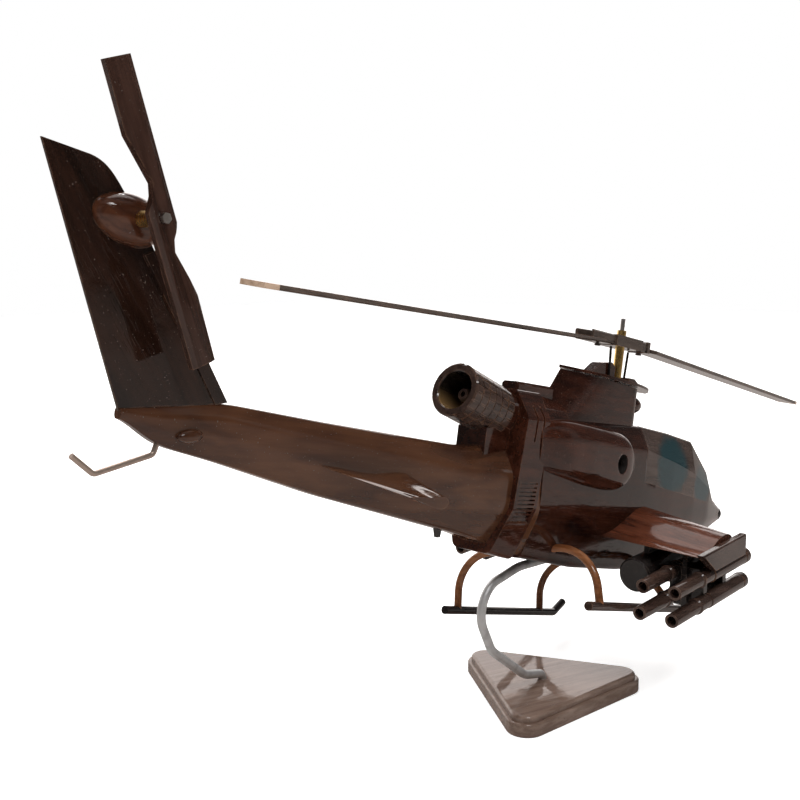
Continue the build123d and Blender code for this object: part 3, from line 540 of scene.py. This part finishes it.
def bored(shown, side):
    """The intake: a round blind hole, cut from the side of the cowl, its walls near black as painted
    shade inside the hole.
    """
    turns = np.linspace(0, 2 * math.pi, 64, endpoint=False)
    y = np.array([DRILL_REACH, INTAKE_FLOOR])[:, None] * side
    x = INTAKE[0] + INTAKE_R * np.cos(turns)[None, :]
    z = INTAKE[1] + INTAKE_R * np.sin(turns)[None, :]
    x, y, z = np.broadcast_arrays(x, y, z)
    drill = put_surface("drill", to_row(np.stack([x, y, z], -1)), "airframe", intake_shade_finish)
    cut = shown.modifiers.new("bore", "BOOLEAN")
    cut.operation = "DIFFERENCE"
    cut.object = drill
    cut.solver = "EXACT"
    cut.material_mode = "TRANSFER"
    bpy.context.view_layer.update()
    solid = bpy.data.meshes.new_from_object(shown.evaluated_get(bpy.context.evaluated_depsgraph_get()))
    shown.modifiers.clear()
    shown.data = solid
    solid.name = shown.name
    bpy.data.objects.remove(drill)


# Near-black walls of the intake hole: painted shade in the recess.
intake_shade_finish = lacquered_wood("intake_painted_shade", (0.003, 0.002, 0.002), (0.012, 0.008, 0.006),
                             edge_rub_and_highlight=0.0, roughness=0.6, mirror=0.2)
for side, word in ((-1, "starboard"), (1, "port")):
    cowl = put_surface("cowl_" + word, to_row(bulge_side(side)), "airframe", cowl_finish,
                       ["engine_cowl_" + word])
    bored(cowl, side)

CAN_DARK = (0.022, 0.012, 0.009)
CAN_LIGHT = (0.060, 0.036, 0.028)
can_finish = lacquered_wood("can_walnut", CAN_DARK, CAN_LIGHT, figure=0.4, ripple=0.4, edge_rub_and_highlight=0.8)


def paint_bore_shade_and_light(material, mouth, tilt, radius):
    """Painted shade inside the exhaust's bore, and on its lower wall a paler wood tone with painted
    light.
    """
    tree = material.node_tree
    shader = tree.nodes["Principled BSDF"]
    place = node(tree, "TexCoord")
    local = node(tree, "Mapping", [("Vector", place.outputs["Object"]), ("Location", tuple(mouth)),
                                   ("Rotation", (0, tilt, 0))], vector_type="TEXTURE")
    parts = node(tree, "SeparateXYZ", [("Vector", local.outputs[0])])
    flat = node(tree, "CombineXYZ", [("Y", parts.outputs["Y"]), ("Z", parts.outputs["Z"])])
    away = node(tree, "VectorMath", [(0, flat.outputs[0])], operation="LENGTH")
    inside = steps(tree, away.outputs["Value"], (radius + 0.25) * MM, (radius + 0.05) * MM)
    lower = steps(tree, parts.outputs["Z"], 1.5 * MM, -5.5 * MM)
    bore_shaded = blend_colours(tree, inside, shader.inputs["Base Color"].links[0].from_socket, BORE_PAINTED_SHADE)
    lit_lower_wall_mask = node(tree, "Math", [(0, inside), (1, lower)], operation="MULTIPLY")
    lower_wall_lit = blend_colours(tree, lit_lower_wall_mask.outputs[0], bore_shaded, LOWER_WALL_PALE_WOOD_AND_PAINTED_LIGHT)
    tree.links.new(lower_wall_lit, shader.inputs["Base Color"])


# The bore's inside is darkened as painted shade; its lower wall is lightened as paler wood with painted
# light where light falls in.
BORE_PAINTED_SHADE = (0.012, 0.009, 0.007, 1)
LOWER_WALL_PALE_WOOD_AND_PAINTED_LIGHT = (0.21, 0.125, 0.052, 1)
EXHAUST_MOUTH = (-114.5, 0, -31.2)
EXHAUST_TILT = math.radians(13.6)
BORE_R = 7.0
bored_finish = lacquered_wood("bored_walnut", CAN_DARK, CAN_LIGHT, figure=0.4, ripple=0.4, edge_rub_and_highlight=0.8)
paint_bore_shade_and_light(bored_finish, to_row(EXHAUST_MOUTH), NOSE_DOWN + EXHAUST_TILT, BORE_R)
dress(bored_finish, "exhaust_can")
dress(can_finish, "exhaust_plug")

# ---------------------------------------------------------------- doghouse and deck
# The doghouse is a tall block under the mast with a thin pointed plate on it; two small fairings are
# glued to the plate and a round boss to the front of the block.

dress(cowl_finish, "doghouse", "deck_plate", "deck_fairing_rear", "deck_fairing_front",
      "doghouse_boss")

# ---------------------------------------------------------------- fin and tail
# The fin is a swept board, thinned to its trailing edge, with a raised shaft cover and an egg-shaped
# gearbox.  The stabilisers and two small teardrops are glued to the boom.

fin_finish = lacquered_wood("fin_mahogany", (0.006, 0.003, 0.002), (0.024, 0.010, 0.006),
                            turn=(0, math.radians(62), 0), figure=0.5, ripple=0.8)
dress(fin_finish, "tail_fin", "fin_spine")
gearbox_finish = lacquered_wood("gearbox_mahogany", (0.022, 0.007, 0.004), (0.085, 0.030, 0.014))
dress(gearbox_finish, "tail_gearbox")
dress(boom_finish, "stabiliser_starboard", "stabiliser_port", "boom_bump_starboard",
      "boom_bump_port")

# ---------------------------------------------------------------- tail rotor
# The tail rotor is one board sawn to shape and held by a steel hex screw, with a short piece of brass
# tube behind it as a spacer.

paddle_finish = lacquered_wood("paddle_mahogany", (0.020, 0.009, 0.006), (0.060, 0.030, 0.022),
                               turn=(0, math.radians(72), 0), ripple=0.6)
dress(paddle_finish, "tail_rotor_blades")
brass_finish = drawn_metal("brass", (0.83, 0.56, 0.20), 0.26, turn=(0, math.radians(90), 0),
                           tarnish=0.3, tarnish_colour=(0.42, 0.24, 0.07, 1))
dress(brass_finish, "tail_bush", "mast_tube")
steel_finish = drawn_metal("bright_steel", (0.62, 0.60, 0.57), 0.3, tarnish=0.3)
dress(steel_finish, "tail_screw", "mast_pin", "mast_washer")
dull_steel = drawn_metal("dull_steel", (0.16, 0.14, 0.13), 0.4, tarnish=0.5)
dress(dull_steel, "blade_bolts")

# ---------------------------------------------------------------- tail wire and aerial
# A bent tinned wire, let into the end of the boom, keeps the tail rotor off the table.  A small blade
# aerial, stained nearly black, is glued under the boom.

wire_finish = drawn_metal("tinned_wire", (0.46, 0.36, 0.30), 0.34, turn=(0, math.radians(20), 0),
                          metallic=0.8)
dress(wire_finish, "tail_skid")
dress(dark_finish, "belly_aerial")

# ---------------------------------------------------------------- wings and stores
# Each stub wing is a carved panel with a rail at its tip; four turned tubes on a dark rack hang from
# the rail and a blunt pod hangs further in.

wing_finish = lacquered_wood("wing_mahogany", (0.030, 0.008, 0.004), (0.120, 0.036, 0.018),
                             turn=(0, 0, math.radians(90)), figure=0.5, ripple=0.8)
dress(wing_finish, "wing_starboard", "wing_port")
dress(can_finish, "end_plate_starboard", "end_plate_port", "launcher_tubes_starboard",
      "launcher_tubes_port")
dress(dark_finish, "rocket_pod_starboard", "rocket_pod_port", "pod_pylon_starboard",
      "pod_pylon_port", "launcher_rack_starboard", "launcher_rack_port")

# ---------------------------------------------------------------- landing gear
# Two cross tubes are bent to bows, coloured copper brown, and glued to the belly and to the skids.
# The skids are thin straight rods with their toes turned up.

bow_finish = lacquered_wood("copper_brown", (0.085, 0.028, 0.010), (0.24, 0.095, 0.038),
                            turn=(0, 0, math.radians(90)), figure=0.5, ripple=0.4)
dress(bow_finish, "gear_bow_rear", "gear_bow_front")
dress(can_finish, "skid_starboard")
# The port skid, behind the fuselage, takes the near-black finish as painted shade; the starboard skid
# takes the walnut of the exhaust can.
dress(dark_finish, "skid_port")

# ---------------------------------------------------------------- main rotor
# Two flat blades are glued into a forked yoke on the brass tube, which turns on the steel pin.  The
# swept tips are separate pieces of paler, bare wood.  Two thin dark rods stand beside the mast.

blade_finish = lacquered_wood("blade_mahogany", (0.030, 0.022, 0.018), (0.085, 0.062, 0.050),
                              figure=0.4, ripple=0.5, edge_rub_and_highlight=0.8)
dress(blade_finish, "rotor_blade_front", "rotor_blade_rear", "rotor_yoke")
dress(dark_finish, "control_rods")
tip_finish = lacquered_wood("bare_tip", (0.36, 0.24, 0.16), (0.58, 0.42, 0.31), figure=0.4,
                            ripple=0.4, edge_rub_and_highlight=0.3, edge_rub_and_highlight_colour=(0.7, 0.55, 0.42, 1))
dress(tip_finish, "blade_tips")

# ---------------------------------------------------------------- floor, light and camera
# A pale sweep of paper under the model, a white tent of light round it, and the camera behind and to
# starboard, a little above the wing.

FLOOR_HALF = 3.0
PAPER = (0.93, 0.93, 0.93, 1)
PAPER_GLOW = 0.62  # light added where the camera sees the paper itself
PAPER_PAINTED_SHADE_IN_REFLECTIONS = (0.36, 0.33, 0.31, 1)  # paper colour for glossy rays only: painted shade on the paper as the lacquer mirrors it
floor_mesh = bpy.data.meshes.new("floor")
corners = [(-FLOOR_HALF, -FLOOR_HALF, 0), (FLOOR_HALF, -FLOOR_HALF, 0), (FLOOR_HALF, FLOOR_HALF, 0),
           (-FLOOR_HALF, FLOOR_HALF, 0)]
floor_mesh.from_pydata(corners, [], [(0, 1, 2, 3)])
floor = bpy.data.objects.new("floor", floor_mesh)
bpy.context.scene.collection.objects.link(floor)
paper, paper_tree, paper_shader = new_material("paper", Roughness=0.9, Specular_IOR_Level=0.1)
fibre = node(paper_tree, "TexNoise", [("Scale", 900.0), ("Detail", 3.0)])
tooth = node(paper_tree, "Bump", [("Strength", 0.05), ("Distance", 0.0002),
                                  ("Height", fibre.outputs["Fac"])])
paper_tree.links.new(tooth.outputs[0], paper_shader.inputs["Normal"])
glow = node(paper_tree, "LightPath")
lift = node(paper_tree, "MapRange", [("Value", glow.outputs["Is Camera Ray"]), ("To Min", 0.0),
                                     ("To Max", PAPER_GLOW)])
paper_shader.inputs["Emission Color"].default_value = (1, 1, 1, 1)
paper_tree.links.new(lift.outputs["Result"], paper_shader.inputs["Emission Strength"])
# Glossy rays see the paper darker: painted shade in its reflection on the lacquer.
paper_tone_with_reflected_shade = blend_colours(paper_tree, glow.outputs["Is Glossy Ray"], PAPER, PAPER_PAINTED_SHADE_IN_REFLECTIONS)
paper_tree.links.new(paper_tone_with_reflected_shade, paper_shader.inputs["Base Color"])
floor_mesh.materials.append(paper)

ROOM_DARK = 0.05  # what the lacquer mirrors behind the camera and to its left
SIDE_PALE = 0.28  # and towards the starboard side of the tent
SIDE_DIM = 0.08  # and in the dim stretch of it ahead of the starboard beam
SWEEP_PALE = 1.9  # and towards the lit sweep beyond the model
CEILING_GAP = 0.12  # share of light in the dark gap under the ceiling
DARK_BEARINGS = ((-48, -52), (-168, -158))  # where the dark side fades in and out, in degrees
DARK_HEIGHT = (0.62, 0.5)  # Z of the direction over which the dark side begins, going down
DIM_BEARING = (-42, -36)
SWEEP_BEARINGS = ((-8, 24), (125, 85))
GAP_HEIGHTS = ((0.52, 0.56), (0.8, 0.74))  # Z of the direction at the gap's lower and upper edge


def bearing_step(edges):
    """A soft step of the compass bearing between two edges in degrees."""
    return steps(sky, bearing.outputs[0], *(math.radians(edge) for edge in edges))


world = bpy.data.worlds.new("pale_tent")
world.use_nodes = True
bpy.context.scene.world = world
sky = world.node_tree
direction = node(sky, "TexCoord").outputs["Generated"]
parts = node(sky, "SeparateXYZ", [("Vector", direction)])
bearing = node(sky, "Math", [(0, parts.outputs["Y"]), (1, parts.outputs["X"])], operation="ARCTAN2")
dark_from, dark_to = (bearing_step(edges) for edges in DARK_BEARINGS)
dark_side = node(sky, "Math", [(0, dark_from), (1, dark_to)], operation="MULTIPLY")
low = steps(sky, parts.outputs["Z"], *DARK_HEIGHT)
dark = node(sky, "Math", [(0, dark_side.outputs[0]), (1, low)], operation="MULTIPLY")
sweep_from, sweep_to = (bearing_step(edges) for edges in SWEEP_BEARINGS)
sweep = node(sky, "Math", [(0, sweep_from), (1, sweep_to)], operation="MULTIPLY")
dim_from = bearing_step(DIM_BEARING)
side = node(sky, "MapRange", [("Value", dim_from), ("To Min", SIDE_PALE), ("To Max", SIDE_DIM)])
pale = node(sky, "MapRange", [("Value", sweep.outputs[0]), ("To Min", side.outputs["Result"]),
                              ("To Max", SWEEP_PALE)])
gap_low, gap_high = (steps(sky, parts.outputs["Z"], *edges) for edges in GAP_HEIGHTS)
gap = node(sky, "Math", [(0, gap_low), (1, gap_high)], operation="MULTIPLY")
dimmed = node(sky, "MapRange", [("Value", gap.outputs[0]), ("To Min", 1.0), ("To Max", CEILING_GAP)])
tent = node(sky, "Math", [(0, pale.outputs["Result"]), (1, dimmed.outputs["Result"])],
            operation="MULTIPLY")
level = node(sky, "Mix", [(0, dark.outputs[0]), (2, tent.outputs[0]), (3, ROOM_DARK)])
seen = node(sky, "LightPath")
shown = node(sky, "Mix", [(0, seen.outputs["Is Camera Ray"]), (2, level.outputs[0]), (3, 1.0)])
tint = blend_colours(sky, seen.outputs["Is Camera Ray"], (1.0, 0.93, 0.90, 1), (1, 1, 1, 1))
sky.links.new(tint, sky.nodes["Background"].inputs["Color"])
sky.links.new(shown.outputs[0], sky.nodes["Background"].inputs["Strength"])


def soft_light(name, place, target, size, power, mirrored=True):
    """A rectangular soft box that faces a point; the lacquer mirrors it only where that is asked."""
    data = bpy.data.lights.new(name, "AREA")
    data.shape = "RECTANGLE"
    data.size, data.size_y = size
    data.energy = power
    lamp = bpy.data.objects.new(name, data)
    lamp.location = place
    lamp.rotation_euler = (Vector(target) - Vector(place)).to_track_quat("-Z", "Y").to_euler()
    lamp.visible_glossy = mirrored
    bpy.context.scene.collection.objects.link(lamp)


soft_light("wide_overhead", (-0.2, -0.2, 1.6), (0, 0, 0.1), (2.2, 2.2), 34, mirrored=False)
soft_light("window", (-0.5, -0.75, 1.3), (0, 0, 0.12), (0.55, 0.22), 5)
soft_light("back_window", (0.5, 0.9, 1.4), (0, 0, 0.12), (0.5, 0.2), 4)

LENS = 46.89
SENSOR = 36.0
CAMERA_PLACE = (-0.35137, -0.23001, 0.18164)
CAMERA_RIGHT = (0.65959, -0.75160, -0.00649)
CAMERA_AHEAD = (0.74421, 0.65427, -0.13456)
camera_data = bpy.data.cameras.new("camera")
camera_data.lens = LENS
camera_data.sensor_width = SENSOR
camera_data.clip_start = 0.01
camera = bpy.data.objects.new("camera", camera_data)
right = Vector(CAMERA_RIGHT)
ahead = Vector(CAMERA_AHEAD)
turn = Matrix((right, right.cross(ahead), -ahead)).transposed()
camera.matrix_world = Matrix.Translation(CAMERA_PLACE) @ turn.to_4x4()
bpy.context.scene.collection.objects.link(camera)
bpy.context.scene.camera = camera
bpy.context.scene.view_settings.view_transform = "Standard"
